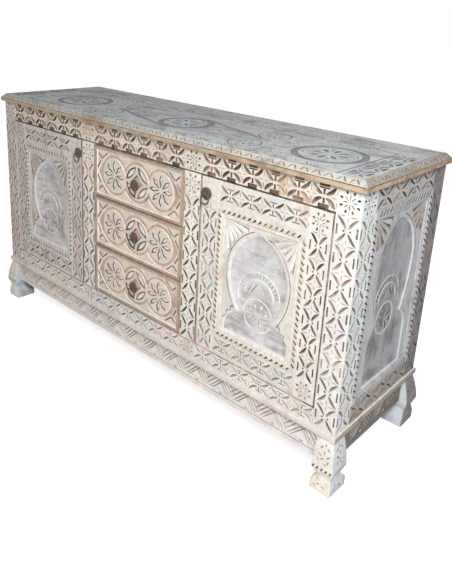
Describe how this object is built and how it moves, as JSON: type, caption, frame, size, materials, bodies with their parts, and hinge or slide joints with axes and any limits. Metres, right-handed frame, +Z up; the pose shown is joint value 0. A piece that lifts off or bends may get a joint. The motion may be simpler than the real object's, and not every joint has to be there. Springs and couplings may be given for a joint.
{
  "type": "carved sideboard cabinet",
  "caption": "Low carved and whitewashed wooden sideboard with arched doors at the ends, a stack of drawers between them, ring pulls and block feet.",
  "frame": {"origin": "on the floor under the middle of the cabinet", "axes": "+X to the right of someone facing the cabinet, -Y to the front, +Z up"},
  "size_m": [1.676, 0.516, 0.9],
  "materials": {
    "front_wash": "whitewashed carved wood, darker in the cuts",
    "side_wash": "thin grey wash over carved wood",
    "top_wash": "grey wash, worn to the wood along the edge",
    "foot_wash": "white wash",
    "inner_wood": "bare sawn wood",
    "pull_iron": "dark wrought iron",
    "ring_iron": "dark wrought iron",
    "hinge_brass": "dull brass"
  },
  "bodies": {
    "case": {"back_panel": "inner_wood", "back_rails": "inner_wood", "base_frame": "front_wash", "case_floor": "inner_wood", "door_stops": "inner_wood", "drawer_runners": "inner_wood", "foot_back_left": "foot_wash", "foot_back_right": "foot_wash", "foot_front_left": "foot_wash", "foot_front_right": "foot_wash", "frame_pivots": "hinge_brass", "front_apron": "front_wash", "front_bottom_rail": "front_wash", "front_top_rail": "front_wash", "inner_stile_left": "front_wash", "inner_stile_right": "front_wash", "left_side_beading": "side_wash", "left_side_panel": "side_wash", "partition_left": "inner_wood", "partition_right": "inner_wood", "post_back_left": "front_wash", "post_back_right": "front_wash", "post_front_left": "front_wash", "post_front_right": "front_wash", "right_side_beading": "side_wash", "right_side_panel": "side_wash", "shelf_cleats": "inner_wood", "shelves": "inner_wood", "side_and_back_aprons": "front_wash", "side_rails": "side_wash", "top_board": "top_wash"},
    "right_door": {"right_door_beading": "front_wash", "right_door_bushes": "hinge_brass", "right_door_panel": "front_wash", "right_door_pull_plate": "pull_iron", "right_door_rails": "front_wash", "right_door_stiles": "front_wash"},
    "left_door": {"left_door_beading": "front_wash", "left_door_bushes": "hinge_brass", "left_door_panel": "front_wash", "left_door_pull_plate": "pull_iron", "left_door_rails": "front_wash", "left_door_stiles": "front_wash"},
    "drawer_1": {"drawer_1_bottom": "inner_wood", "drawer_1_box": "inner_wood", "drawer_1_front": "front_wash", "drawer_1_pull_plate": "pull_iron"},
    "drawer_2": {"drawer_2_bottom": "inner_wood", "drawer_2_box": "inner_wood", "drawer_2_front": "front_wash", "drawer_2_pull_plate": "pull_iron"},
    "drawer_3": {"drawer_3_bottom": "inner_wood", "drawer_3_box": "inner_wood", "drawer_3_front": "front_wash", "drawer_3_pull_plate": "pull_iron"},
    "drawer_1_ring": {"drawer_1_pull_ring": "ring_iron"},
    "drawer_2_ring": {"drawer_2_pull_ring": "ring_iron"},
    "drawer_3_ring": {"drawer_3_pull_ring": "ring_iron"},
    "left_door_ring": {"left_door_pull_ring": "ring_iron"},
    "right_door_ring": {"right_door_pull_ring": "ring_iron"}
  },
  "joints": [
    {"name": "right_door_hinge", "type": "hinge", "parent": "case", "child": "right_door", "pos_m": [0.741, -0.2355, 0.5195], "axis": [0, 0, 1], "range_deg": [0, 105]},
    {"name": "left_door_hinge", "type": "hinge", "parent": "case", "child": "left_door", "pos_m": [-0.741, -0.2355, 0.5195], "axis": [0, 0, -1], "range_deg": [0, 105]},
    {"name": "drawer_1_slide", "type": "slide", "parent": "case", "child": "drawer_1", "axis": [0, -1, 0], "range_m": [0, 0.33]},
    {"name": "drawer_2_slide", "type": "slide", "parent": "case", "child": "drawer_2", "axis": [0, -1, 0], "range_m": [0, 0.33]},
    {"name": "drawer_3_slide", "type": "slide", "parent": "case", "child": "drawer_3", "axis": [0, -1, 0], "range_m": [0, 0.33]},
    {"name": "right_door_ring_swing", "type": "hinge", "parent": "right_door", "child": "right_door_ring", "pos_m": [0.318, -0.249, 0.747], "axis": [-1, 0, 0], "range_deg": [0, 95]},
    {"name": "left_door_ring_swing", "type": "hinge", "parent": "left_door", "child": "left_door_ring", "pos_m": [-0.318, -0.249, 0.747], "axis": [-1, 0, 0], "range_deg": [0, 95]},
    {"name": "drawer_1_ring_swing", "type": "hinge", "parent": "drawer_1", "child": "drawer_1_ring", "pos_m": [-0.01, -0.246, 0.69483], "axis": [-1, 0, 0], "range_deg": [0, 95]},
    {"name": "drawer_2_ring_swing", "type": "hinge", "parent": "drawer_2", "child": "drawer_2_ring", "pos_m": [-0.01, -0.246, 0.5095], "axis": [-1, 0, 0], "range_deg": [0, 95]},
    {"name": "drawer_3_ring_swing", "type": "hinge", "parent": "drawer_3", "child": "drawer_3_ring", "pos_m": [-0.01, -0.246, 0.32417], "axis": [-1, 0, 0], "range_deg": [0, 95]}
  ]
}
